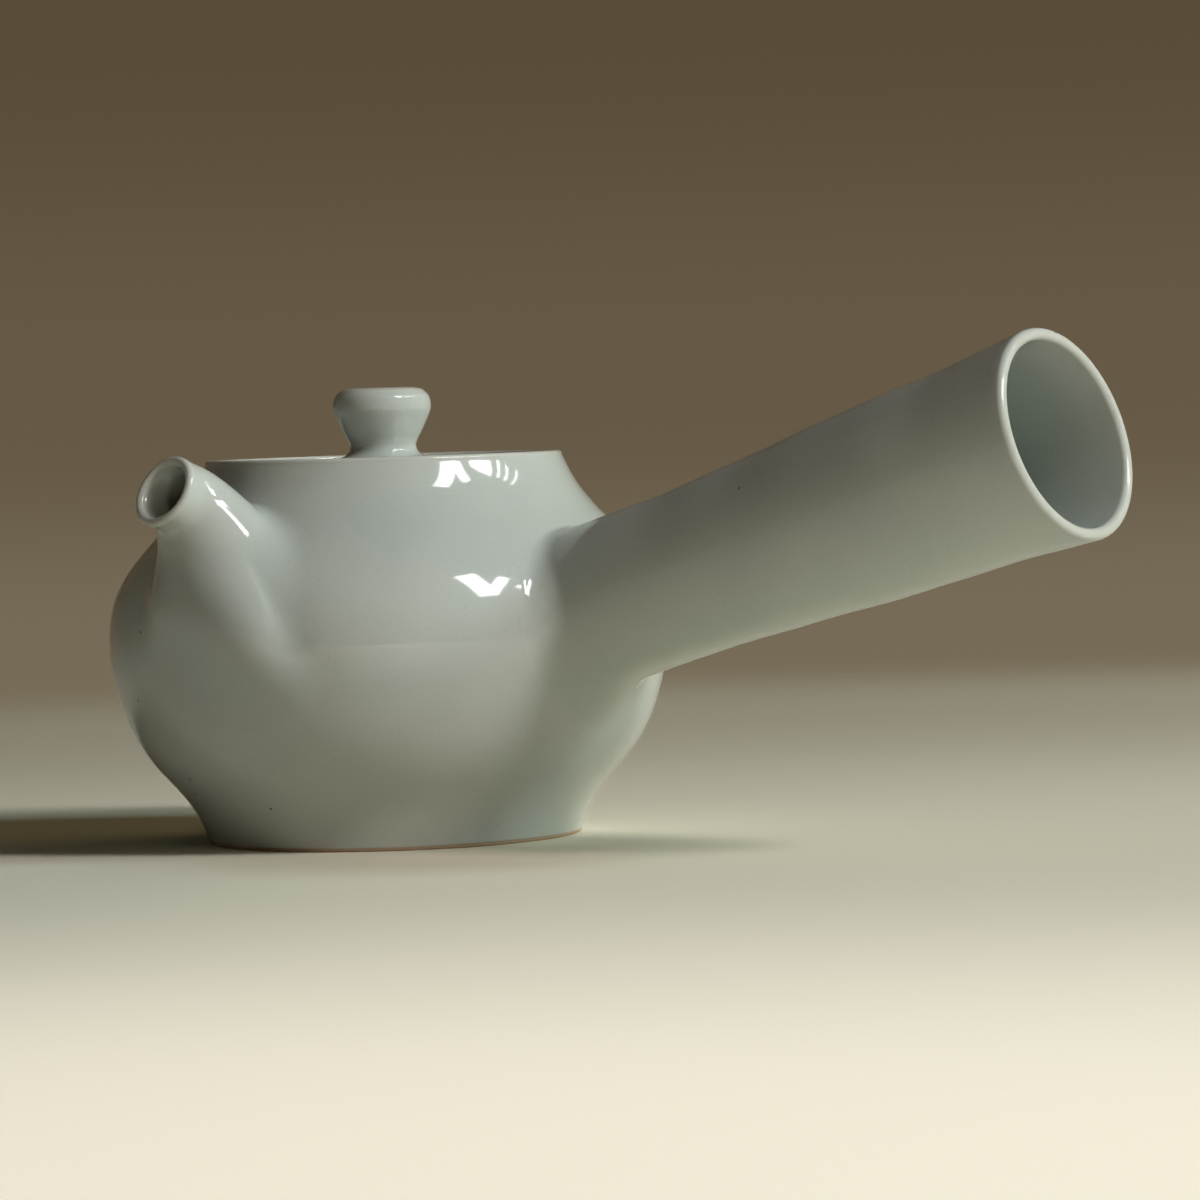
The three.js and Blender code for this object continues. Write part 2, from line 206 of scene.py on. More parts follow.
class Paint:
    """Node tree of one material or of the world."""

    def __init__(
        self, owner: bpy.types.Material | bpy.types.World, place: str = "Object"
    ) -> None:
        """Start on an empty tree.

        Args:
            owner: Material or world that is painted.
            place: Coordinates that its textures read.
        """
        owner.use_nodes = True
        self.owner = owner
        self.tree = owner.node_tree
        self.tree.nodes.clear()
        self.place = self.node("TexCoord", output=place)

    def node(
        self,
        kind: str,
        settings: dict[str, object] | None = None,
        inputs: dict[int | str, object] | None = None,
        output: int | str = 0,
    ) -> Wire:
        """Add one node.

        Args:
            kind: Type name of the node without its ShaderNode.
            settings: Attributes to set first.
            inputs: Values or wires, by socket.
            output: Socket to hand back.

        Returns:
            The chosen output.
        """
        made = self.tree.nodes.new(f"ShaderNode{kind}")
        for key, value in (settings or {}).items():
            setattr(made, key, value)
        for key, value in (inputs or {}).items():
            if isinstance(value, Wire):
                self.tree.links.new(value.socket, made.inputs[key])
            else:
                made.inputs[key].default_value = value
        return Wire(self, made.outputs[output] if len(made.outputs) else None)

    def noise(self, scale: float, detail: float = 2.0) -> Wire:
        """Soft noise from 0 to 1, with a count of waves per metre and of finer layers."""
        return self.node(
            "TexNoise", {}, {"Vector": self.place, "Scale": scale, "Detail": detail}
        )

    def blend(self, share: Wire | float, first: Wire | Colour, second: Wire | Colour) -> Wire:
        """Mix two colours.

        Args:
            share: Share of the second colour.
            first: First colour.
            second: Second colour.

        Returns:
            The mixed colour.
        """
        def full(colour: Wire | Colour) -> Wire | tuple[float, ...]:
            """Colour with its fourth number."""
            return colour if isinstance(colour, Wire) else (*colour, 1.0)

        return self.node(
            "Mix",
            {"data_type": "RGBA"},
            {0: share, 6: full(first), 7: full(second)},
            output=2,
        )

    def strew(self, colour: Wire, specks: Specks, tone: Colour) -> Wire:
        """Strew specks over a colour.

        Args:
            colour: Colour under the specks.
            specks: Their sizes and strength.
            tone: Their own colour.

        Returns:
            The speckled colour.
        """
        cell = {"Vector": self.place, "Scale": specks.scale}
        far = self.node("TexVoronoi", {}, cell, output="Distance")
        hue = self.node("TexVoronoi", {}, cell, output="Color")
        red = self.node("SeparateColor", {}, {"Color": hue}, output="Red")
        shown = far.ramp(specks.size, specks.size * 0.5) * (red > specks.empty)
        return self.blend(shown * specks.strength, colour, tone)

    def grained(self, colour: Wire, grain: Wire, depth: float) -> Wire:
        """Lighten and darken a colour with a grain.

        Args:
            colour: Colour without the grain.
            grain: The grain, from 0 to 1.
            depth: Difference between its lightest and darkest, as a share.

        Returns:
            The grained colour.
        """
        shade = 1 - depth / 2 + grain * depth
        return self.node(
            "VectorMath", {"operation": "SCALE"}, {"Vector": colour, "Scale": shade}
        )

    def finish(
        self, shader: dict[str, object], height: Wire, depth: float
    ) -> bpy.types.Material:
        """Close the tree with a principled shader and a bump.

        Args:
            shader: Values or wires of the shader's sockets.
            height: Height of the surface from 0 to 1.
            depth: Depth in metres of a height of 1.

        Returns:
            The material.
        """
        bump = self.node(
            "Bump", {}, {"Strength": 1.0, "Distance": depth, "Height": height},
            output="Normal",
        )
        surface = self.node("BsdfPrincipled", {}, {**shader, "Normal": bump})
        self.node("OutputMaterial", {}, {"Surface": surface})
        return self.owner


@dataclass(frozen=True)
class Glaze:
    """Pale blue-green glaze over white porcelain, thin at the edges and deep where it pools.

    Scales count waves in a metre. Above the foot a bare and a burnt band each give the shares
    of the foot line at which they fade out and at which they are full.
    """

    light: Colour = display(184, 190, 185)
    deep: Colour = display(178, 185, 181)
    pooled: Colour = display(162, 174, 170)
    thin: Colour = display(202, 198, 185)
    iron: Colour = display(78, 70, 56)
    clay: Colour = display(176, 150, 120)
    flash: Colour = display(142, 106, 74)
    dots: Specks = Specks(130.0, 0.05, 0.25, 0.75)
    dust: Specks = Specks(520.0, 0.08, 0.45, 0.3)
    foot_line: float = 0.3
    bare_shares: Pair = (1.1, 0.2)
    burnt_shares: Pair = (2.6, 0.9)
    burnt_strength: float = 0.7
    cloud_scale: float = 42.0
    cloud_range: Pair = (0.3, 0.7)
    grain_scale: float = 2400.0
    grain_tone: float = 0.09
    pool_strength: float = 0.55
    thin_strength: float = 0.65
    thin_clouds: float = 0.5
    gloss: float = 0.06
    thin_dull: float = 0.12
    bare_dull: float = 0.6
    cloud_dull: float = 0.02
    index: float = 1.52
    wave_scale: float = 75.0
    wave_depth: float = 0.04
    peel_scale: float = 600.0
    peel_share: float = 0.012
    grain_share: float = 0.4

    def material(self) -> bpy.types.Material:
        """Build the glaze's nodes.

        Returns:
            The material.
        """
        paint = Paint(bpy.data.materials.new("pale_glaze"))
        clouds = paint.noise(self.cloud_scale, 3.0)
        grain = paint.noise(self.grain_scale, 1.0)
        thin, pool = (
            paint.node("Attribute", {"attribute_name": name}, output="Fac")
            for name in ("thin", "pool")
        )
        height = paint.node("SeparateXYZ", {}, {"Vector": paint.place}, output="Z")

        colour = paint.blend(clouds.ramp(*self.cloud_range), self.light, self.deep)
        colour = paint.blend(pool * self.pool_strength, colour, self.pooled)
        thinned = thin * (self.thin_strength + clouds * self.thin_clouds)
        colour = paint.blend(thinned, colour, self.thin)
        colour = paint.grained(colour, grain, self.grain_tone)
        colour = paint.strew(colour, self.dust, self.iron)
        colour = paint.strew(colour, self.dots, self.iron)
        edge = self.foot_line / METRE
        wander = height - clouds * edge
        bare, burnt = (
            wander.ramp(*(share * edge for share in shares))
            for shares in (self.bare_shares, self.burnt_shares)
        )
        colour = paint.blend(burnt * self.burnt_strength, colour, self.flash)
        colour = paint.blend(bare, colour, self.clay)

        waves = paint.noise(self.wave_scale, 1.0)
        peel = paint.noise(self.peel_scale, 1.0)
        dull = thin * self.thin_dull + bare * self.bare_dull + clouds * self.cloud_dull
        return paint.finish(
            {"Base Color": colour, "Roughness": self.gloss + dull, "IOR": self.index},
            waves + peel * self.peel_share + bare * grain * self.grain_share,
            self.wave_depth / METRE,
        )


@dataclass(frozen=True)
class BareClay:
    """Unglazed porcelain, smooth and dry, toasted a little in the kiln."""

    light: Colour = display(222, 213, 198)
    toasted: Colour = display(206, 188, 164)
    iron: Colour = display(120, 100, 78)
    specks: Specks = Specks(300.0, 0.06, 0.4, 0.5)
    cloud_scale: float = 55.0
    cloud_range: Pair = (0.35, 0.75)
    grain_scale: float = 2600.0
    ring_scale: float = 260.0
    ring_wobble: float = 1.5
    ring_share: float = 0.8
    dullness: float = 0.62
    grain_dull: float = 0.2
    index: float = 1.45
    depth: float = 0.02

    def material(self) -> bpy.types.Material:
        """Build the clay's nodes.

        Returns:
            The material.
        """
        paint = Paint(bpy.data.materials.new("bare_porcelain"))
        clouds = paint.noise(self.cloud_scale, 3.0)
        grain = paint.noise(self.grain_scale, 2.0)
        rings = paint.node(
            "TexWave",
            {"wave_type": "RINGS", "rings_direction": "Z"},
            {"Vector": paint.place, "Scale": self.ring_scale, "Distortion": self.ring_wobble},
            output="Fac",
        )
        colour = paint.blend(clouds.ramp(*self.cloud_range), self.light, self.toasted)
        colour = paint.strew(colour, self.specks, self.iron)
        dull = self.dullness + grain * self.grain_dull
        return paint.finish(
            {"Base Color": colour, "Roughness": dull, "IOR": self.index},
            grain + rings * self.ring_share,
            self.depth / METRE,
        )


def deselect_all() -> None:
    """Leave object mode with nothing selected."""
    if bpy.context.object and bpy.context.object.mode != "OBJECT":
        bpy.ops.object.mode_set(mode="OBJECT")
    bpy.ops.object.select_all(action="DESELECT")


def fresh(name: str) -> Piece:
    """Name the primitive that an operator has just made and put its place in its mesh.

    Args:
        name: New name.

    Returns:
        The object.
    """
    piece = bpy.context.object
    piece.name = name
    piece.data.name = name
    bpy.ops.object.transform_apply(location=True, rotation=True, scale=True)
    return piece


def hang(name: str, data: bpy.types.ID) -> Piece:
    """Put a new lamp or camera in the scene.

    Args:
        name: Its name.
        data: Its settings.

    Returns:
        The object.
    """
    made = bpy.data.objects.new(name, data)
    bpy.context.scene.collection.objects.link(made)
    return made


def spin_profile(name: str, profile: Points, steps: int) -> Piece:
    """Extrude a vertex along a profile and spin it round the Z axis.

    Args:
        name: Name of the new object.
        profile: Pairs of radius and height in millimetres, from pole to pole or closed.
        steps: Steps round the axis.

    Returns:
        The closed lathe-turned mesh.
    """
    deselect_all()
    bpy.ops.mesh.primitive_plane_add(size=1 / METRE)
    piece = fresh(name)
    bpy.ops.object.mode_set(mode="EDIT")
    bpy.ops.mesh.merge(type="CENTER")
    chain = np.column_stack([profile[:, 0], np.zeros(len(profile)), profile[:, 1]]) / METRE
    bpy.ops.transform.translate(value=chain[0])
    for move in np.diff(chain, axis=0):
        bpy.ops.mesh.extrude_vertices_move(TRANSFORM_OT_translate={"value": move})
    bpy.ops.mesh.select_all(action="SELECT")
    bpy.ops.mesh.spin(steps=steps, angle=2 * math.pi, center=(0, 0, 0), axis=(0, 0, 1))
    bpy.ops.mesh.select_all(action="SELECT")
    bpy.ops.mesh.remove_doubles(threshold=WELD / METRE)
    bpy.ops.mesh.normals_make_consistent(inside=False)
    bpy.ops.object.mode_set(mode="OBJECT")
    return piece


def arc(centre: Pair, radius: float, start: float, end: float, steps: int) -> Points:
    """Points of an arc.

    Args:
        centre: Centre as radius and height.
        radius: Radius of the arc.
        start: First angle in degrees.
        end: Last angle in degrees.
        steps: Count of steps.

    Returns:
        The pairs.
    """
    turn = np.radians(np.linspace(start, end, steps + 1))
    return np.column_stack([
        centre[0] + radius * np.cos(turn), centre[1] + radius * np.sin(turn)
    ])


def cut(piece: Piece, tool: Piece, operation: str = "DIFFERENCE") -> None:
    """Cut a piece with a tool and drop the tool.

    Args:
        piece: Object to be cut.
        tool: Closed cutting object.
        operation: Boolean operation.
    """
    deselect_all()
    bpy.context.view_layer.objects.active = piece
    modifier = piece.modifiers.new("cut", "BOOLEAN")
    modifier.operation = operation
    modifier.solver = "EXACT"
    modifier.object = tool
    bpy.ops.object.modifier_apply(modifier=modifier.name)
    bpy.data.objects.remove(tool)


def rod(
    name: str, radius: float, length: float, place: Points, along: Points, sides: int = 48
) -> Piece:
    """Cylinder for cutting.

    Args:
        name: Name of the cylinder.
        radius: Radius in millimetres.
        length: Length in millimetres.
        place: Its middle in millimetres.
        along: Direction of its length.
        sides: Count of sides.

    Returns:
        The cylinder with its place in its mesh.
    """
    deselect_all()
    bpy.ops.mesh.primitive_cylinder_add(
        vertices=sides, radius=radius / METRE, depth=length / METRE,
        location=Vector(place) / METRE,
        rotation=Vector(along).to_track_quat("Z", "Y").to_euler(),
    )
    return fresh(name)


def corners(piece: Piece) -> Points:
    """Vertices of a piece in millimetres.

    Args:
        piece: Mesh object.

    Returns:
        One row for each vertex.
    """
    flat = np.empty(len(piece.data.vertices) * 3, np.float32)
    piece.data.vertices.foreach_get("co", flat)
    return flat.reshape(-1, 3).astype(float) * METRE


def move_corners(piece: Piece, places: Points) -> None:
    """Put every vertex of a piece in its place, one row in millimetres for each."""
    piece.data.vertices.foreach_set("co", (places / METRE).astype(np.float32).ravel())
    piece.data.update()


def mark(piece: Piece, name: str, values: Points) -> None:
    """Store one number at every vertex as a named attribute."""
    layer = piece.data.attributes.new(name, "FLOAT", "POINT")
    layer.data.foreach_set("value", np.clip(values, 0.0, 1.0).astype(np.float32))


def smooth(piece: Piece, angle: float = 40.0) -> None:
    """Shade a piece smooth.

    Args:
        piece: Mesh object.
        angle: Angle in degrees past which an edge stays sharp.
    """
    deselect_all()
    piece.select_set(True)
    bpy.context.view_layer.objects.active = piece
    bpy.ops.object.shade_smooth_by_angle(angle=math.radians(angle))


@dataclass
class Clay:
    """A clay piece: it builds its mesh, dresses it and rides on a body."""

    name: str
    body: Body
    slot: Slot
    covers: tuple[str, ...]

    def build(self) -> Piece:
        """Build the mesh."""
        raise NotImplementedError

    def thin(self, places: Points) -> Points:
        """Thinness of the glaze at each place."""
        return np.zeros(len(places))

    def pool(self, places: Points) -> Points:
        """Pooling of the glaze at each place."""
        return np.zeros(len(places))

    def make(self, finish: bpy.types.Material) -> Piece:
        """Build, dress and mount the piece.

        Args:
            finish: Material of the whole piece.

        Returns:
            The finished object.
        """
        piece = self.build()
        places = corners(piece)
        mark(piece, "thin", self.thin(places))
        mark(piece, "pool", self.pool(places))
        smooth(piece)
        piece.data.materials.clear()
        piece.data.materials.append(finish)
        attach(piece, self.body.value)
        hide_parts(*self.covers)
        piece.data.calc_loop_triangles()
        LOG.info("%s: %d triangles", self.name, len(piece.data.loop_triangles))
        return piece


@dataclass
class Wall:
    """Thrown wall of the pot: the surfaces that every other piece meets."""

    height: float = 63.5
    foot_radius: float = 30.9
    belly_radius: float = 46.55
    belly_height: float = 33.3
    rim_radius: float = 29.4
    thickness: float = 2.8
    base: float = 4.2
    bowl_height: float = 26.0
    bowl_power: float = 2.6
    evenness: float = 1.3
    swell: tuple[Pair, ...] = (
        (0, 0), (0.1, 0.083), (0.2, 0.197), (0.3, 0.375), (0.4, 0.57), (0.5, 0.716),
        (0.6, 0.818), (0.7, 0.889), (0.8, 0.946), (0.9, 0.985), (1, 1),
    )
    neck: tuple[Pair, ...] = (
        (0.113, 0.009), (0.222, 0.05), (0.331, 0.132), (0.444, 0.268), (0.56, 0.448),
        (0.69, 0.668), (0.805, 0.828), (0.861, 0.888), (0.917, 0.936), (1, 1),
    )

    def __post_init__(self) -> None:
        """Fit the outline."""
        above = self.height - self.belly_height
        swelling = self.belly_radius - self.foot_radius
        narrowing = self.belly_radius - self.rim_radius
        knots = [
            (up * self.belly_height, self.foot_radius + out * swelling) for up, out in self.swell
        ] + [
            (self.belly_height + up * above, self.belly_radius - into * narrowing)
            for up, into in self.neck
        ]
        self.outline = Curve(knots, self.evenness)

    def radius(self, z: Points, off: float | Points = 0.0) -> Points:
        """Radius at a height, a distance off the outside and inwards where that is negative."""
        return self.outline.at(z) + off * np.hypot(1.0, self.outline.slope(z))

    def inside(self, z: Points) -> Points:
        """Radius of the inside.

        Args:
            z: Height.

        Returns:
            The radius, rounded in towards the bowl's floor.
        """
        wall = self.radius(z, -self.thickness)
        depth = np.clip((self.bowl_height - z) / (self.bowl_height - self.base), 0.0, 1.0)
        bowl = float(self.radius(self.bowl_height, -self.thickness))
        return np.minimum(wall, bowl * (1 - depth ** self.bowl_power) ** (1 / self.bowl_power))

    def normal(self, places: Points) -> Points:
        """Outward direction of the wall at places on it.

        Args:
            places: Points, the last axis being X, Y and Z.

        Returns:
            Unit directions.
        """
        flat = np.hypot(places[..., 0], places[..., 1])
        slope = self.outline.slope(places[..., 2])
        normal = np.stack([places[..., 0] / flat, places[..., 1] / flat, -slope], -1)
        return normal / np.linalg.norm(normal, axis=-1, keepdims=True)

    def onto(self, places: Points, off: float | Points = 0.0) -> Points:
        """Move places level with the ground onto the wall.

        Args:
            places: Points, the last axis being X, Y and Z.
            off: Distance off the wall.

        Returns:
            The moved points.
        """
        z = np.clip(places[..., 2], 0.0, self.height)
        scale = self.radius(z, off) / np.hypot(places[..., 0], places[..., 1])
        return np.stack([places[..., 0] * scale, places[..., 1] * scale, z], -1)


@dataclass
class PotBody(Clay):
    """Thrown bowl with its belly, neck, foot and port.

    The throwing rings start at a height and grow over a run. Each pool of glaze gives its
    height, its reach up and down and its strength.
    """

    wall: Wall = field(default_factory=Wall)
    foot_edge: float = 0.5
    rim_edge: float = 0.7
    throwing: float = 0.012
    throwing_turn: float = 1.15
    throwing_start: Pair = (3.0, 6.0)
    throwing_end: float = 5.0
    groove: float = 0.05
    groove_turn: float = 2.1
    groove_fade: float = 4.0
    rim_thin: float = 0.6
    rim_reach: float = 0.4
    rim_power: float = 1.4
    pools: tuple[tuple[float, float, float], ...] = ((54.0, 5.0, 0.35), (2.0, 3.0, 0.3))
    rows: int = 150
    inner_rows: int = 80
    steps: int = 240
    port_height: float = 47.5
    port_radius: float = 6.2
    port_depth: float = 14.0
    spout_azimuth: float = -97.0

    def profile(self) -> Points:
        """Radius and height from the outer pole to the inner pole.

        Returns:
            The pairs.
        """
        wall, edge, rim = self.wall, self.foot_edge, self.rim_edge
        lip = wall.height - rim
        reach = float(wall.radius(edge)) - edge
        under = np.linspace(0.0, reach, 26)
        groove = self.groove * (1 - np.cos(under * self.groove_turn))
        groove = groove * ease((reach - under) / self.groove_fade)
        rise = np.linspace(edge, lip, self.rows)
        ripple = self.throwing * np.sin(rise * self.throwing_turn)
        start, run = self.throwing_start
        ripple = ripple * ease((rise - start) / run) * ease((lip - rise) / self.throwing_end)
        down = np.linspace(lip, wall.base, self.inner_rows)
        return np.vstack([
            np.column_stack([under, groove])[:-1],
            arc((reach, edge), edge, -90, 0, 8)[:-1],
            np.column_stack([wall.radius(rise) + ripple, rise])[:-1],
            arc((float(wall.radius(lip)) - rim, lip), rim, 0, 90, 10)[:-1],
            arc((float(wall.inside(lip)) + rim, lip), rim, 90, 180, 10)[:-1],
            np.column_stack([wall.inside(down), down]),
        ])

    def build(self) -> Piece:
        """Spin the profile and open the port.

        Returns:
            The pot's mesh.
        """
        piece = spin_profile(self.name, self.profile(), self.steps)
        out = compass(self.spout_azimuth)[0]
        middle = out * float(self.wall.inside(self.port_height)) + [0, 0, self.port_height]
        cut(piece, rod("port_cutter", self.port_radius, self.port_depth, middle, out))
        return piece

    def thin(self, places: Points) -> Points:
        """Thin glaze over the rim."""
        depth = (self.wall.height - places[:, 2]) / self.rim_reach
        return self.rim_thin * np.exp(-depth ** self.rim_power)

    def pool(self, places: Points) -> Points:
        """Deeper glaze in the hollow of the neck and above the foot."""
        return sum(
            share * bell(places[:, 2], middle, reach) for middle, reach, share in self.pools
        )


@dataclass
class LidSeat(Clay):
    """Bare ledge inside the neck, whose fillet and root give a reach and a rise or dip."""

    wall: Wall = field(default_factory=Wall)
    top: float = 59.6
    thickness: float = 2.4
    bore: float = 22.05
    edge: float = 0.5
    sink: float = 0.4
    fillet: Pair = (1.2, 0.15)
    root: Pair = (1.6, 0.25)
    steps: int = 160

    def build(self) -> Piece:
        """Spin the ledge's section, sunk a little into the wall.

        Returns:
            The ledge's mesh.
        """
        def outer(z: float) -> float:
            """Radius in the wall at a height."""
            return float(self.wall.inside(z)) + self.sink

        low = self.top - self.thickness
        (fillet, rise), (root, dip) = self.fillet, self.root
        section = np.vstack([
            arc((self.bore + self.edge, low + self.edge), self.edge, 270, 180, 5),
            arc((self.bore + self.edge, self.top - self.edge), self.edge, 180, 90, 5),
            [[outer(self.top) - fillet, self.top], [outer(self.top), self.top + rise]],
            [[outer(low - root), low - root], [outer(low) - root, low - dip]],
            arc((self.bore + self.edge, low + self.edge), self.edge, 270, 270, 0),
        ])
        return spin_profile(self.name, section, self.steps)


@dataclass(frozen=True)
class Spread:
    """Distance that differs round a tube, from its top over its side to its underside."""

    top: float
    upper: float
    side: float
    lower: float
    bottom: float
    evenness: float = 0.12

    def at(self, turn: Points) -> Points:
        """Distance at each angle round the tube."""
        knots = ((-1.0, self.bottom), (-0.7, self.lower), (0.0, self.side), (0.7, self.upper),
                 (1.0, self.top))
        return Curve(knots, self.evenness).at(np.sin(turn))


@dataclass
class Tube(Clay):
    """Hollow tube luted to the belly, with a blend that runs out over the wall.

    Its rows run from the lip over the outside, the blend, the hidden face and back up the
    bore. The ring radii are those of the plain ring that is shaped into it.
    """

    wall: Wall = field(default_factory=Wall)
    length: float = 1.0
    reach: float = 1.0
    thickness: float = 2.0
    turns: int = 200
    lip_rows: int = 12
    outer_rows: int = 70
    blend_rows: int = 28
    face_rows: int = 4
    bore_rows: int = 50
    blend_run: Spread = Spread(4.0, 5.0, 6.0, 5.0, 4.5)
    blend_out: Spread = Spread(3.0, 4.5, 6.0, 5.0, 4.5)
    blend_lean: float = 0.0
    skin_lift: float = 0.012
    root_sink: float = 0.7
    lip_thin: float = 0.25
    blend_pool: float = 0.45
    bore_fade: float = 12.0
    halvings: int = 34
    ring_radii: Pair = (40.0, 10.0)

    def station(self, share: Points) -> tuple[Points, Points, Points, Points]:
        """Centre and the side, over and out directions at a share of the length."""
        raise NotImplementedError

    def halves(self, share: Points, turn: Points) -> tuple[Points, Points]:
        """Half sizes along the side and over directions."""
        raise NotImplementedError

    def skin(self, share: Points, turn: Points, inset: Points | float = 0.0,
             ahead: Points | float = 0.0) -> Points:
        """Point of the tube's surface.

        Args:
            share: Share of the length, 0 at the mouth.
            turn: Angle round the tube, 0 at its side and a quarter turn on top.
            inset: Distance in from the outside.
            ahead: Distance out past the mouth.

        Returns:
            The points.
        """
        share, turn = np.broadcast_arrays(share, turn)
        centre, side, over, out = self.station(share)
        half_side, half_over = self.halves(share, turn)
        return (
            centre
            + side * ((half_side - inset) * np.cos(turn))[..., None]
            + over * ((half_over - inset) * np.sin(turn))[..., None]
            + out * np.broadcast_to(ahead, share.shape)[..., None]
        )

    def inset(self, share: Points, turn: Points) -> Points:
        """Distance of the bore from the outside."""
        return np.full(np.broadcast_shapes(np.shape(share), np.shape(turn)), self.thickness)

    def meeting(self, turn: Points, inset: float, off: float) -> Points:
        """Share of the length at which each line meets the wall.

        Args:
            turn: Angles round the tube.
            inset: Distance in from the tube's outside.
            off: Distance off the wall.

        Returns:
            The shares.
        """
        outer, inner = np.zeros(len(turn)), np.full(len(turn), self.reach)
        for _ in range(self.halvings):
            middle = (outer + inner) / 2
            place = self.skin(middle, turn, inset)
            z = np.clip(place[:, 2], 0.0, self.wall.height)
            clear = np.hypot(place[:, 0], place[:, 1]) > self.wall.radius(z, off)
            outer, inner = np.where(clear, middle, outer), np.where(clear, inner, middle)
        return outer

    def lean(self, spread: Spread, turn: Points) -> Points:
        """Distance of a spread at each angle, longer on the tube's side at angle 0."""
        return spread.at(turn) * (1 + self.blend_lean * np.cos(turn))

    def blend(self, meet: Points, turn: Points) -> Points:
        """Curve from the tube onto the wall, level in slope and bend at both ends.

        Args:
            meet: Shares at which the lines meet the wall.
            turn: Angles round the tube.

        Returns:
            Points for each turn and row.
        """
        u = np.linspace(0.0, 1.0, self.blend_rows + 1)
        run = (self.lean(self.blend_run, turn) / self.length)[:, None]
        along = self.skin(meet[:, None] - run * (1 - u), turn[:, None])
        corner = self.skin(meet, turn)
        normal = self.wall.normal(corner)
        away = corner - self.station(meet)[0]
        away -= normal * np.sum(away * normal, -1, keepdims=True)
        away /= np.linalg.norm(away, axis=-1, keepdims=True)
        out = self.lean(self.blend_out, turn)[:, None] * u
        under = self.wall.onto(corner[:, None] + away[:, None] * out[..., None])
        draped = under + self.wall.normal(under) * self.skin_lift
        weight = ease(u)[None, :, None]
        return along * (1 - weight) + draped * weight

    def lines(self) -> Points:
        """All points, by turn and by row, closed both ways.

        Returns:
            Array of turns, rows and coordinates.
        """
        turn = np.arange(self.turns) * 2 * math.pi / self.turns
        half = self.thickness / 2
        sweep = np.linspace(math.pi, 0.0, self.lip_rows + 1)[:-1]
        lip = self.skin(
            np.zeros((1, len(sweep))), turn[:, None],
            half * (1 - np.cos(sweep))[None, :], half * np.sin(sweep)[None, :],
        )
        meet = self.meeting(turn, 0.0, self.skin_lift)
        start = meet - self.lean(self.blend_run, turn) / self.length
        along = np.linspace(0.0, 1.0, self.outer_rows + 1)[None, :-1]
        outside = self.skin(start[:, None] * along, turn[:, None])
        blend = self.blend(meet, turn)
        seat = self.wall.onto(blend[:, -1], -self.root_sink)
        root = self.meeting(turn, self.thickness, -self.root_sink)
        bore_root = self.skin(root, turn, self.inset(root, turn))
        share = (np.arange(self.face_rows) / self.face_rows)[None, :, None]
        face = seat[:, None] * (1 - share) + bore_root[:, None] * share
        face = self.wall.onto(face, -self.root_sink)
        back = 1 - np.arange(self.bore_rows)[None, :] / self.bore_rows
        inner = root[:, None] * back
        bore = self.skin(inner, turn[:, None], self.inset(inner, turn[:, None]))
        return np.concatenate([lip, outside, blend, face, bore], axis=1)

    def build(self) -> Piece:
        """Shape a ring, row by row, into the tube.

        Returns:
            The tube's mesh.
        """
        lines = self.lines()
        deselect_all()
        bpy.ops.mesh.primitive_torus_add(
            major_segments=lines.shape[0], minor_segments=lines.shape[1],
            major_radius=self.ring_radii[0] / METRE, minor_radius=self.ring_radii[1] / METRE,
        )
        piece = fresh(self.name)
        move_corners(piece, lines.reshape(-1, 3))
        bpy.ops.object.mode_set(mode="EDIT")
        bpy.ops.mesh.select_all(action="SELECT")
        bpy.ops.mesh.normals_make_consistent(inside=False)
        bpy.ops.object.mode_set(mode="OBJECT")
        return piece

    def rows_mark(self, lip: float, blend: float, bore: float) -> Points:
        """Weight of each row, repeated for every turn.

        Args:
            lip: Weight on the lip.
            blend: Weight in the blend.
            bore: Weight in the bore.

        Returns:
            One number for each vertex.
        """
        weights = np.concatenate([
            lip * np.sin(np.linspace(math.pi, 0.0, self.lip_rows + 1)[:-1]) ** 0.5,
            np.zeros(self.outer_rows),
            blend * np.sin(np.linspace(0, math.pi, self.blend_rows + 1)) ** 2,
            np.full(self.face_rows, bore),
            bore * ease(np.linspace(1.0, 0.0, self.bore_rows) * self.bore_fade),
        ])
        return np.tile(weights, self.turns)

    def thin(self, places: Points) -> Points:
        """Thin glaze over the lip."""
        return self.rows_mark(self.lip_thin, 0.0, 0.0)

    def pool(self, places: Points) -> Points:
        """Deeper glaze in the blend and in the bore."""
        return self.rows_mark(0.0, self.blend_pool, 1.0)


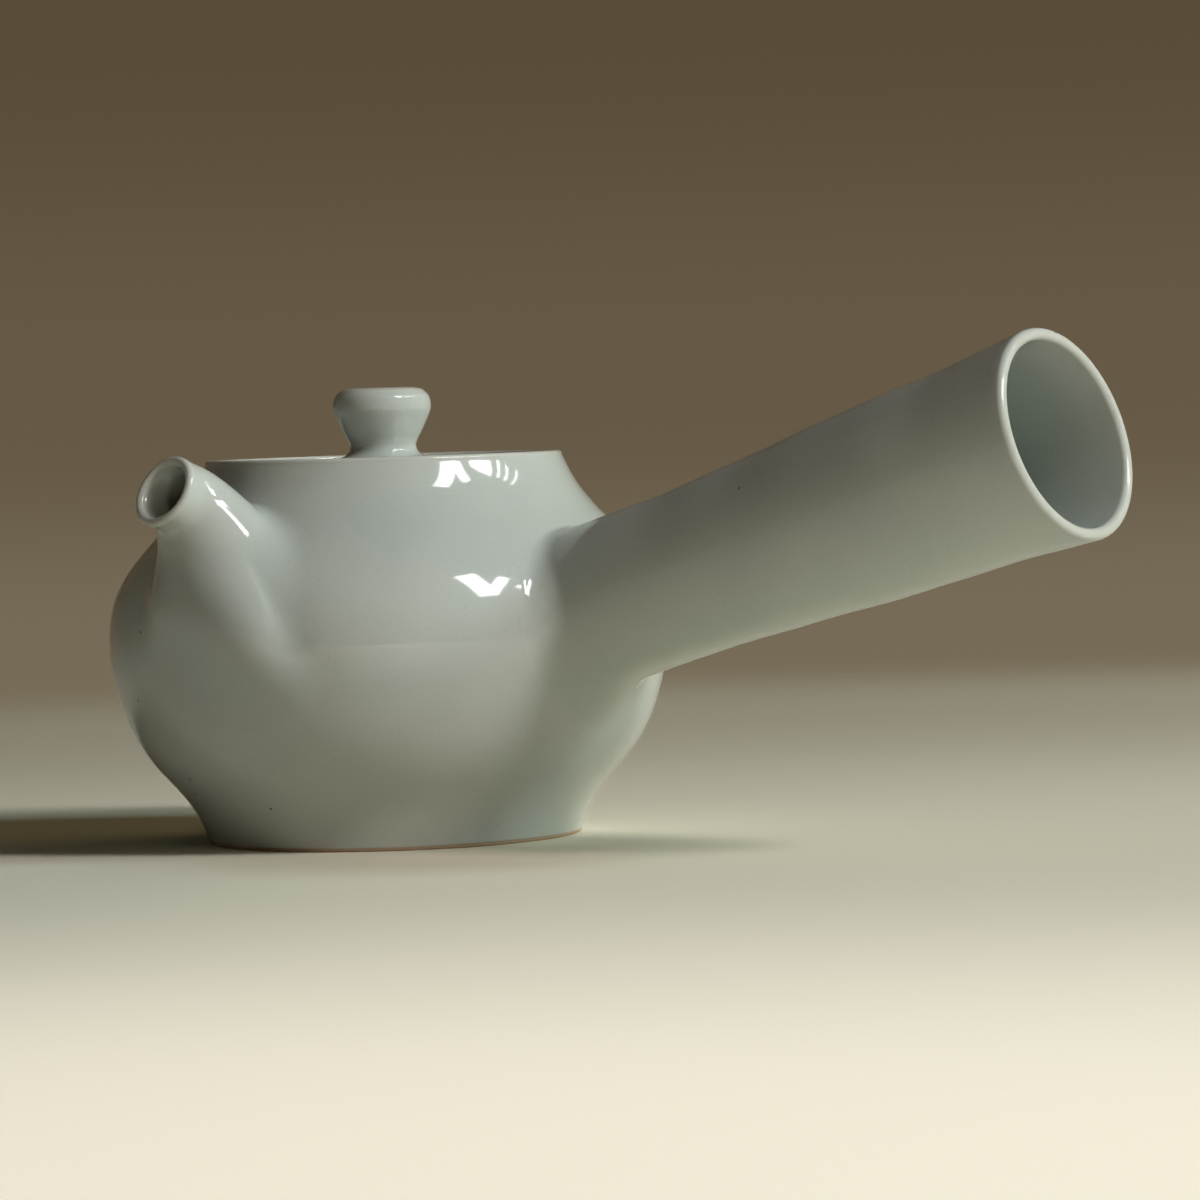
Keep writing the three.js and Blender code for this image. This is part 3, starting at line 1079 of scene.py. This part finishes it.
@dataclass
class Handle(Tube):
    """Hollow thrown handle, flared a little at its open end.

    Its two slight waves turn by so many radians over the length and start at their own angles.
    """

    length: float = 90.9
    reach: float = 1.24
    blend_run: Spread = Spread(1.2, 2.5, 4.5, 6.0, 8.0)
    blend_out: Spread = Spread(1.2, 2.5, 5.5, 6.5, 7.5)
    mouth_radius: float = 16.95
    rise: float = 16.2
    root_height: float = 38.8
    wave: float = 0.05
    wave_turns: Pair = (19.0, 31.0)
    wave_starts: Pair = (0.6, 0.7)
    oval: float = 0.06
    oval_start: float = 0.5
    evenness: float = 0.03
    shares: tuple[Pair, ...] = (
        (0, 1), (0.055, 0.979), (0.11, 0.956), (0.22, 0.932), (0.33, 0.914), (0.44, 0.888),
        (0.55, 0.857), (0.66, 0.821), (0.77, 0.796), (0.88, 0.791), (1, 0.8), (1.3, 0.82),
    )

    def __post_init__(self) -> None:
        """Set the tube's axis."""
        tilt = math.radians(self.rise)
        self.out = np.array([math.cos(tilt), 0.0, math.sin(tilt)])
        self.over = np.array([-math.sin(tilt), 0.0, math.cos(tilt)])
        self.side = np.array([0.0, 1.0, 0.0])
        root = np.array([float(self.wall.radius(self.root_height)), 0.0, self.root_height])
        self.mouth = root + self.out * self.length
        self.taper = Curve(self.shares, self.evenness)

    def station(self, share: Points) -> tuple[Points, Points, Points, Points]:
        """Place on the straight axis."""
        centre = self.mouth - self.out * (share * self.length)[..., None]
        return centre, self.side, self.over, self.out

    def halves(self, share: Points, turn: Points) -> tuple[Points, Points]:
        """Radius with the small waves of a hand-thrown tube.

        Args:
            share: Share of the length.
            turn: Angle round the tube.

        Returns:
            The radius, twice.
        """
        (slow, quick), (start, lag) = self.wave_turns, self.wave_starts
        wave = self.wave * np.sin(share * slow + start)
        wave = wave + self.wave * np.sin(share * quick + np.cos(turn + lag))
        oval = self.oval * np.cos(2 * turn + self.oval_start)
        radius = self.mouth_radius * self.taper.at(share) + wave * ease(share * 6) + oval
        return radius, radius


@dataclass
class Spout(Tube):
    """Short upturned spout with a flared pouring lip and a broad, soft root.

    Each section gives its distance from the mouth, the reach and height of its middle, its
    step towards the handle's side, its half width and its half depth below and above. It
    grows squarer from a share of the length over another share, and the throat's end gives
    its distance from the mouth and the run over which the bore widens again.
    """

    thickness: float = 1.6
    turns: int = 176
    outer_rows: int = 50
    blend_rows: int = 48
    bore_rows: int = 40
    blend_run: Spread = Spread(1.5, 2.0, 5.0, 10.5, 13.0)
    blend_out: Spread = Spread(1.5, 3.2, 5.4, 7.0, 9.0)
    blend_lean: float = 0.2
    azimuth: float = -97.0
    mouth_tilt: float = 27.0
    mouth_fade: float = 5.0
    squareness: float = 2.7
    square_shares: Pair = (0.12, 0.5)
    throat_depth: float = 2.6
    throat_end: Pair = (6.0, 8.0)
    throat_loss: float = 0.6
    throat_mean: float = 0.8
    throat_swing: float = 1.4
    throat_turn: float = 2.36
    line_evenness: float = 0.03
    girth_evenness: float = 0.012
    sections: tuple[tuple[float, ...], ...] = (
        (0, 48.3, 59.0, 0, 6.2, 6.2, 6.2), (1, 47.4, 58.75, 0.2, 5.95, 6.05, 6.05),
        (2, 46.5, 58.4, 0.4, 5.7, 6.0, 6.0), (3.4, 45.3, 57.6, 0.6, 5.85, 6.3, 6.3),
        (7.2, 42.3, 54.6, 1.2, 7.9, 7.6, 7.3), (13.7, 38.9, 48.6, 2.65, 11.75, 10.6, 8.6),
        (20.4, 36.6, 42.4, 3.9, 15.7, 13.0, 9.2), (27, 34.4, 36.4, 4.95, 17.85, 14.0, 10.0),
        (34, 32.2, 30.4, 5.55, 18.25, 13.2, 10.0), (40, 29.6, 25.0, 5.6, 17.4, 11.5, 9.0),
    )

    def __post_init__(self) -> None:
        """Lay the middle line out by length."""
        self.heading, self.side = compass(self.azimuth)
        table = np.array(self.sections)
        self.length = float(table[-1, 0])
        share = table[:, 0] / self.length
        evenness = 3 * [self.line_evenness] + 3 * [self.girth_evenness]
        self.reaches, self.heights, self.steps, self.width, self.below, self.above = (
            Curve(np.column_stack([share, column]), even)
            for column, even in zip(table.T[1:], evenness)
        )

    def station(self, share: Points) -> tuple[Points, Points, Points, Points]:
        """Place on the curved middle line.

        Args:
            share: Share of the length.

        Returns:
            The centre and the side, over and out directions.
        """
        up = np.array([0.0, 0.0, 1.0])
        tilt = np.arctan2(-self.heights.slope(share), -self.reaches.slope(share))
        mouth = ease(1 - share * self.mouth_fade)
        tilt = tilt * (1 - mouth) + math.radians(self.mouth_tilt) * mouth
        out = np.cos(tilt)[..., None] * self.heading + np.sin(tilt)[..., None] * up
        side = np.broadcast_to(self.side, out.shape)
        centre = self.reaches.at(share)[..., None] * self.heading \
            + self.heights.at(share)[..., None] * up + self.steps.at(share)[..., None] * self.side
        return centre, side, np.cross(out, side), out

    def halves(self, share: Points, turn: Points) -> tuple[Points, Points]:
        """Half width and half depth, squarer towards the root.

        Args:
            share: Share of the length.
            turn: Angle round the tube.

        Returns:
            The half width and the half depth.
        """
        start, run = self.square_shares
        square = ease((share - start) / run) * (1 - np.sin(turn)) / 2
        power = 2 + (self.squareness - 2) * square
        fill = (np.abs(np.cos(turn)) ** power + np.abs(np.sin(turn)) ** power) ** (-1 / power)
        depth = np.where(np.sin(turn) > 0, self.above.at(share), self.below.at(share))
        return self.width.at(share) * fill, depth * fill

    def inset(self, share: Points, turn: Points) -> Points:
        """Distance of the bore from the outside, most at the mouth's outer side.

        Args:
            share: Share of the length.
            turn: Angle round the tube.

        Returns:
            The distances, which make the mouth a small funnel.
        """
        deep = share * self.length
        start, run = self.throat_end
        ring = self.throat_mean + self.throat_swing * np.cos(turn + self.throat_turn)
        fade = 1 - self.throat_loss * ease((deep - start) / run)
        return self.thickness + ease(deep / self.throat_depth) * fade * ring


@dataclass
class Strainer(Clay):
    """Pierced clay dome over the port."""

    wall: Wall = field(default_factory=Wall)
    azimuth: float = -97.0
    port_height: float = 47.5
    radius: float = 9.0
    thickness: float = 1.6
    hole: float = 0.85
    hole_length: float = 8.0
    hole_sides: int = 16
    ring_step: float = 19.0
    rings: int = 3
    holes_per_ring: int = 6
    sink: float = 0.3
    room_rows: int = 60
    room_steps: int = 180

    def build(self) -> Piece:
        """Hollow a ball, pierce it and keep what is inside the pot.

        Returns:
            The dome's mesh.
        """
        out, across = (Vector(way) for way in compass(self.azimuth))
        inward = -out
        reach = float(self.wall.inside(self.port_height))
        centre = Vector((0, 0, self.port_height)) - inward * reach
        piece = self.ball(self.name, centre, self.radius)
        cut(piece, self.ball("hollow_cutter", centre, self.radius - self.thickness))
        for ring in range(self.rings + 1):
            count = max(ring * self.holes_per_ring, 1)
            for i in range(count):
                aim = Matrix.Rotation(math.radians(ring * self.ring_step), 3, across) @ inward
                aim = Matrix.Rotation(2 * math.pi * i / count, 3, inward) @ aim
                place = centre + aim * self.radius
                cut(piece, rod(
                    "hole_cutter", self.hole, self.hole_length, place, aim, self.hole_sides
                ))
        down = np.linspace(self.wall.height, self.wall.base, self.room_rows)
        room = np.vstack([
            [[0.0, self.wall.height]],
            np.column_stack([self.wall.inside(down) + self.sink, down]),
        ])
        cut(piece, spin_profile("room_cutter", room, self.room_steps), "INTERSECT")
        return piece

    @staticmethod
    def ball(name: str, centre: Vector, radius: float) -> Piece:
        """Ball with its place in its mesh.

        Args:
            name: Name of the ball.
            centre: Centre in millimetres.
            radius: Radius in millimetres.

        Returns:
            The object.
        """
        deselect_all()
        bpy.ops.mesh.primitive_uv_sphere_add(
            segments=72, ring_count=36, radius=radius / METRE, location=centre / METRE
        )
        return fresh(name)


@dataclass
class LidCover(Clay):
    """Inset lid plate and its knob under one glaze.

    The crest's dips are its depths below the top on its ring, at the bend and in the dished
    middle. The pool round the stem gives its height, its reach and its strength.
    """

    under: float = 59.9
    thickness: float = 2.9
    radius: float = 26.25
    crown: float = 0.3
    edge: float = 0.7
    knob_radius: float = 8.17
    knob_base: float = 63.4
    knob_height: float = 11.4
    vent_radius: float = 1.3
    steps: int = 192
    vent_sides: int = 32
    vent_length: float = 12.0
    vent_reach: float = 13.96
    foot_reach: float = 3.2
    foot_pull: float = 0.35
    foot_corner: Pair = (0.05, 0.02)
    bend_shares: Pair = (0.6, 0.8)
    crest_dips: tuple[float, float, float] = (0.02, 0.1, 0.28)
    edge_reach: float = 0.6
    crest_share: float = 0.965
    crest_reach: float = 0.5
    stem_pool: tuple[float, float, float] = (0.6, 1.2, 0.6)
    knob_shares: tuple[Pair, ...] = (
        (0.158, 0.673), (0.23, 0.705), (0.3, 0.757), (0.45, 0.862), (0.6, 0.957), (0.67, 0.991),
        (0.737, 1.0), (0.816, 0.985), (0.886, 0.942), (0.94, 0.868),
    )

    def profile(self) -> Points:
        """Radius and height from the under pole to the top pole.

        Returns:
            The pairs.
        """
        top = self.under + self.thickness
        rim = self.radius - self.edge
        stem = self.knob_radius * self.knob_shares[0][1]
        plate = np.linspace(rim, stem + self.foot_reach, 30)
        dome = top + self.crown * ease((rim - plate) / (rim - stem - self.foot_reach))
        knob = Curve(self.knob_shares)
        rise = np.linspace(self.knob_shares[0][0], self.knob_shares[-1][0], 44)
        knob_line = np.column_stack([
            knob.at(rise) * self.knob_radius, self.knob_base + rise * self.knob_height
        ])
        start, low = knob_line[0], np.array([plate[-1], dome[-1]])
        u = np.linspace(0, 1, 13)[1:-1, None]
        corner = np.array([start[0] - self.foot_corner[0], low[1] + self.foot_corner[1]])
        pull = self.foot_pull
        first = low * pull + corner * (1 - pull)
        last = start * pull + corner * (1 - pull)
        foot = low * (1 - u) ** 3 + 3 * u * (1 - u) ** 2 * first \
            + 3 * u ** 2 * (1 - u) * last + start * u ** 3
        crest = self.knob_base + self.knob_height
        end = knob_line[-1]
        v = np.linspace(0, 1, 16)[1:, None]
        (near, far), (flat, bent, dip) = self.bend_shares, self.crest_dips
        inner = np.array([self.knob_radius * near, crest - flat])
        bend = np.array([self.knob_radius * far, crest - bent])
        shoulder = end * (1 - v) ** 2 + 2 * v * (1 - v) * bend + inner * v ** 2
        cap = np.linspace(inner[0], 0.0, 14)[1:]
        cap_line = np.column_stack([cap, crest - dip + (dip - flat) * ease(cap / inner[0])])
        bottom = np.linspace(0.0, rim, 20)[:-1]
        return np.vstack([
            np.column_stack([bottom, np.full(len(bottom), self.under)]),
            arc((rim, self.under + self.edge), self.edge, -90, 0, 6)[:-1],
            arc((rim, top - self.edge), self.edge, 0, 90, 6)[:-1],
            np.column_stack([plate, dome]),
            foot, knob_line, shoulder, cap_line,
        ])

    def build(self) -> Piece:
        """Spin the profile and open the vent.

        Returns:
            The lid's mesh.
        """
        piece = spin_profile(self.name, self.profile(), self.steps)
        place = np.array([-self.vent_reach, 0.0, self.under])
        up = np.array([0.0, 0.0, 1.0])
        vent = rod("vent_cutter", self.vent_radius, self.vent_length, place, up, self.vent_sides)
        cut(piece, vent)
        return piece

    def thin(self, places: Points) -> Points:
        """Thin glaze round the plate's edge and over the knob's shoulder.

        Args:
            places: Vertices in millimetres.

        Returns:
            The thinness at each.
        """
        reach = np.hypot(places[:, 0], places[:, 1])
        plate = bell(reach, self.radius, self.edge_reach)
        shoulder = self.knob_base + self.crest_share * self.knob_height
        crest = bell(places[:, 2], shoulder, self.crest_reach)
        return plate + 0.5 * crest * (reach > self.knob_radius * 0.55)

    def pool(self, places: Points) -> Points:
        """Deeper glaze where the stem meets the plate."""
        above, reach, share = self.stem_pool
        return share * bell(places[:, 2], self.knob_base + above, reach)


@dataclass
class LidRing(Clay):
    """Bare locating ring under the lid."""

    top: float = 59.6
    depth: float = 4.1
    outer: float = 21.55
    inner: float = 19.75
    edge: float = 0.5
    sink: float = 0.45
    flare: float = 0.8
    steps: int = 160

    def build(self) -> Piece:
        """Spin the ring's rounded section, let into the plate.

        Returns:
            The ring's mesh.
        """
        low, sunk, neck = self.top - self.depth, self.top + self.sink, self.top - self.flare
        section = np.vstack([
            arc((self.inner + self.edge, low + self.edge), self.edge, 180, 270, 6),
            arc((self.outer - self.edge, low + self.edge), self.edge, 270, 360, 6),
            [[self.outer, neck], [self.outer + self.sink, sunk], [self.inner - self.sink, sunk],
             [self.inner, neck], [self.inner, low + self.edge]],
        ])
        return spin_profile(self.name, section, self.steps)


class Glints(Enum):
    """What a lamp gives: soft light alone, or its mirror image in the glaze alone."""

    NONE = "soft light"
    ONLY = "mirror image"


@dataclass(frozen=True)
class Softbox:
    """Rectangular lamp seen from the pot at an azimuth right of the camera and an elevation.

    Width and height are angles in degrees, and its distance and the height that it aims at
    are in metres. A level of 1 shows a surface that faces the lamp in its own colour.
    """

    name: str
    azimuth: float
    elevation: float
    width: float
    height: float
    level: float
    colour: Colour = (1.0, 1.0, 1.0)
    glints: Glints = Glints.NONE
    roll: float = 0.0
    distance: float = 2.6
    aim_height: float = 0.04

    def place(self, heading: float) -> Piece:
        """Hang the lamp.

        Args:
            heading: Azimuth of the camera in degrees.

        Returns:
            The lamp.
        """
        data = bpy.data.lights.new(self.name, "AREA")
        data.shape = "RECTANGLE"
        data.size = 2 * self.distance * math.tan(math.radians(self.width / 2))
        data.size_y = 2 * self.distance * math.tan(math.radians(self.height / 2))
        data.energy = self.level * (math.pi * self.distance) ** 2
        data.color = self.colour
        lamp = hang(self.name, data)
        around, up = math.radians(self.azimuth + heading), math.radians(self.elevation)
        aim = Vector((
            math.sin(around) * math.cos(up), -math.cos(around) * math.cos(up), math.sin(up)
        ))
        lamp.location = aim * self.distance + Vector((0, 0, self.aim_height))
        lamp.rotation_mode = "QUATERNION"
        spun = turned(self.roll, "Z").to_quaternion()
        lamp.rotation_quaternion = aim.to_track_quat("Z", "Y") @ spun
        lamp.visible_camera = False
        lamp.visible_glossy = self.glints is Glints.ONLY
        lamp.visible_diffuse = self.glints is Glints.NONE
        return lamp


@dataclass
class Studio:
    """Pale floor, soft light and the camera at the photograph's viewing angle.

    The floor's colour is a painted pool of light, brightest in front of the pot and darker
    further off, and the floor glows there as painted light on the pot. Where the floor's painted
    shading starts and ends is a distance in metres, and the backdrop's steps are heights of the
    line of sight,
    0 on the horizon.
    """

    heading: float = 39.5
    distance: float = 880.0
    eye_height: float = 71.0
    yaw: float = 2.2967
    pitch: float = 2.1305
    roll: float = -1.78
    lens: float = 158.4
    sensor: float = 36.0
    clip: Pair = (0.05, 50.0)
    # Painted light on the floor: where its painted pool of light lies, its lit and shaded
    # colours, a brighter painted patch far in front, and the glows by which the floor lights the
    # pot.
    light_pool_reach: float = 450.0
    floor_painted_lit: Colour = display(243, 241, 230)
    floor_painted_falloff: tuple[tuple[float, float, Colour], ...] = (
        (0.1, 0.42, display(225, 221, 204)), (0.4, 0.8, display(189, 182, 165)),
    )
    floor_painted_front_light: Colour = display(244, 236, 216)
    grain_scale: float = 900.0
    grain_tone: float = 0.03
    drift_scale: float = 7.0
    drift_reach: float = 0.03
    floor_radius: float = 3000.0
    floor_rough: float = 0.9
    floor_index: float = 1.2
    floor_depth: float = 0.02
    front_light_reach: float = 1080.0
    front_light_edge: Pair = (0.64, 0.5)
    floor_fade: Pair = (0.76, 1.02)
    light_pool_glow: Colour = (0.3, 0.25, 0.18)
    front_light_glow: Colour = (0.5, 0.44, 0.34)
    light_pool_edge: Pair = (0.05, 0.42)
    haze: Colour = display(120, 110, 88)
    backdrop: tuple[tuple[float, float, Colour], ...] = (
        (-0.062, -0.042, display(118, 107, 87)), (-0.045, 0.0, display(102, 90, 70)),
        (0.0, 0.08, display(89, 76, 57)),
    )
    ambient: Colour = (0.014, 0.0135, 0.011)
    boxes: tuple[Softbox, ...] = (
        Softbox("tall_pane", 48.5, 47.5, 8, 20, 0.27, glints=Glints.ONLY),
        Softbox("slant_pane", 58, 44.5, 15, 4.5, 0.12, roll=42, glints=Glints.ONLY),
        Softbox("side_pane", 74, 39, 13, 5, 0.12, glints=Glints.ONLY),
        Softbox("strip_near", 88, 37.5, 1.5, 6, 0.015, glints=Glints.ONLY),
        Softbox("strip_middle", 94.5, 37.5, 1.5, 7, 0.015, glints=Glints.ONLY),
        Softbox("strip_far", 102, 37.5, 1.5, 9, 0.015, glints=Glints.ONLY),
        Softbox("key", 53, 33, 8, 12, 0.61, (0.99, 0.95, 0.92)),
        Softbox("side_key", 72, 30, 12, 9, 0.37, (0.78, 0.97, 1.0)),
        Softbox("warm_low", 50, 12, 44, 14, 0.11, (1.0, 0.93, 0.78)),
        Softbox("warm_front", 0, 3, 50, 5, 0.03, (1.0, 0.6, 0.2)),
        Softbox("warm_side", 120, 14, 36, 20, 0.24, (1.0, 0.78, 0.4)),
        Softbox("warm_back", 172, 44, 36, 24, 0.01, (1.0, 0.85, 0.5)),
    )

    def camera(self) -> None:
        """Set the camera up."""
        data = bpy.data.cameras.new("camera")
        data.lens = self.lens
        data.sensor_width = self.sensor
        data.clip_start, data.clip_end = self.clip
        eye = hang("camera", data)
        spot = Matrix.Translation(Vector((0, -self.distance, self.eye_height)) / METRE)
        level = turned(90.0, "X")
        aim = turned(-self.yaw, "Z") @ turned(-self.pitch, "X") @ level @ turned(self.roll, "Z")
        eye.matrix_world = turned(self.heading, "Z") @ spot @ aim
        bpy.context.scene.camera = eye

    def toward(self) -> Points:
        """Level direction from the pot to the camera."""
        return -compass(self.heading)[1]

    def away(self, paint: Paint, reach: float) -> Wire:
        """Distance in metres from a spot on the floor.

        Args:
            paint: Paint of the floor.
            reach: How far in front of the pot the spot is, in millimetres.

        Returns:
            The distance.
        """
        return paint.node(
            "VectorMath", {"operation": "DISTANCE"},
            {0: paint.place, 1: tuple(self.toward() * reach / METRE)}, output="Value",
        )

    def floor(self) -> None:
        """Lay a wide pale floor, brightest in front of the pot with a painted pool of light and a
        painted glow, and lost in the haze behind it.
        """
        deselect_all()
        bpy.ops.mesh.primitive_circle_add(
            vertices=128, radius=self.floor_radius / METRE, fill_type="NGON"
        )
        ground = fresh("floor")
        paint = Paint(bpy.data.materials.new("floor_paper_painted_light"))
        grain, drift = paint.noise(self.grain_scale), paint.noise(self.drift_scale)
        reach = self.away(paint, self.light_pool_reach) + (drift - 0.5) * self.drift_reach
        # Painted light: the colour is lightest round the pool's spot and darker in steps further
        # off, a painted pool of light and its falloff.
        colour = self.floor_painted_lit
        for low, high, tone in self.floor_painted_falloff:
            colour = paint.blend(reach.ramp(low, high), colour, tone)
        # Painted light: a lighter patch of floor far in front of the pot, seen in the glaze.
        front = self.away(paint, self.front_light_reach).ramp(*self.front_light_edge)
        colour = paint.blend(front, colour, self.floor_painted_front_light)
        colour = paint.grained(colour, grain, self.grain_tone)
        # Painted light: the floor glows round the pool's spot and in front of the pot, lighting
        # the pot from below like a lamp.
        glow = paint.blend(reach.ramp(*self.light_pool_edge), self.light_pool_glow, (0.0, 0.0, 0.0))
        glow = paint.blend(front, glow, self.front_light_glow)
        ground.data.materials.append(paint.finish(
            {
                "Base Color": colour, "Roughness": self.floor_rough, "IOR": self.floor_index,
                "Alpha": 1.0 - reach.ramp(*self.floor_fade),
                "Emission Color": glow, "Emission Strength": 1.0,
            },
            grain, self.floor_depth / METRE,
        ))

    def world(self) -> None:
        """Light the room dimly and show a hazy backdrop to the camera and in the glaze."""
        paint = Paint(bpy.data.worlds.new("room"), "Generated")
        bpy.context.scene.world = paint.owner
        up = paint.node("SeparateXYZ", {}, {"Vector": paint.place}, output="Z")
        backdrop = self.haze
        for low, high, tone in self.backdrop:
            backdrop = paint.blend(up.ramp(low, high), backdrop, tone)
        seen = paint.node("LightPath", output="Is Camera Ray")
        mirrored = paint.node("LightPath", output="Is Glossy Ray")
        colour = paint.blend(seen + mirrored, self.ambient, backdrop)
        back = paint.node("Background", {}, {"Color": colour, "Strength": 1.0})
        paint.node("OutputWorld", {}, {"Surface": back})

    def build(self) -> None:
        """Build the whole stage."""
        self.camera()
        self.floor()
        self.world()
        for box in self.boxes:
            box.place(self.heading)
        bpy.context.scene.view_settings.view_transform = "Standard"


def main() -> None:
    """Build the teapot and its stage."""
    logging.basicConfig(level=logging.INFO, format="%(message)s")
    finishes = {Slot.GLAZE: Glaze().material(), Slot.BARE: BareClay().material()}
    wall = Wall()
    pot, lid, glaze, bare = Body.POT, Body.LID, Slot.GLAZE, Slot.BARE
    pieces = (
        PotBody("pot_body_glazed", pot, glaze, ("pot_body",), wall),
        Handle("handle_glazed", pot, glaze, ("handle",), wall),
        Spout("spout_glazed", pot, glaze, ("spout",), wall),
        LidSeat("lid_seat_bare", pot, bare, ("lid_seat",), wall),
        Strainer("strainer_bare", pot, bare, ("spout_strainer",), wall),
        LidCover("lid_cover_glazed", lid, glaze, ("lid_plate", "lid_knob")),
        LidRing("lid_ring_bare", lid, bare, ("lid_flange",)),
    )
    for piece in pieces:
        piece.make(finishes[piece.slot])
    Studio().build()


if __name__ == "__main__":
    main()
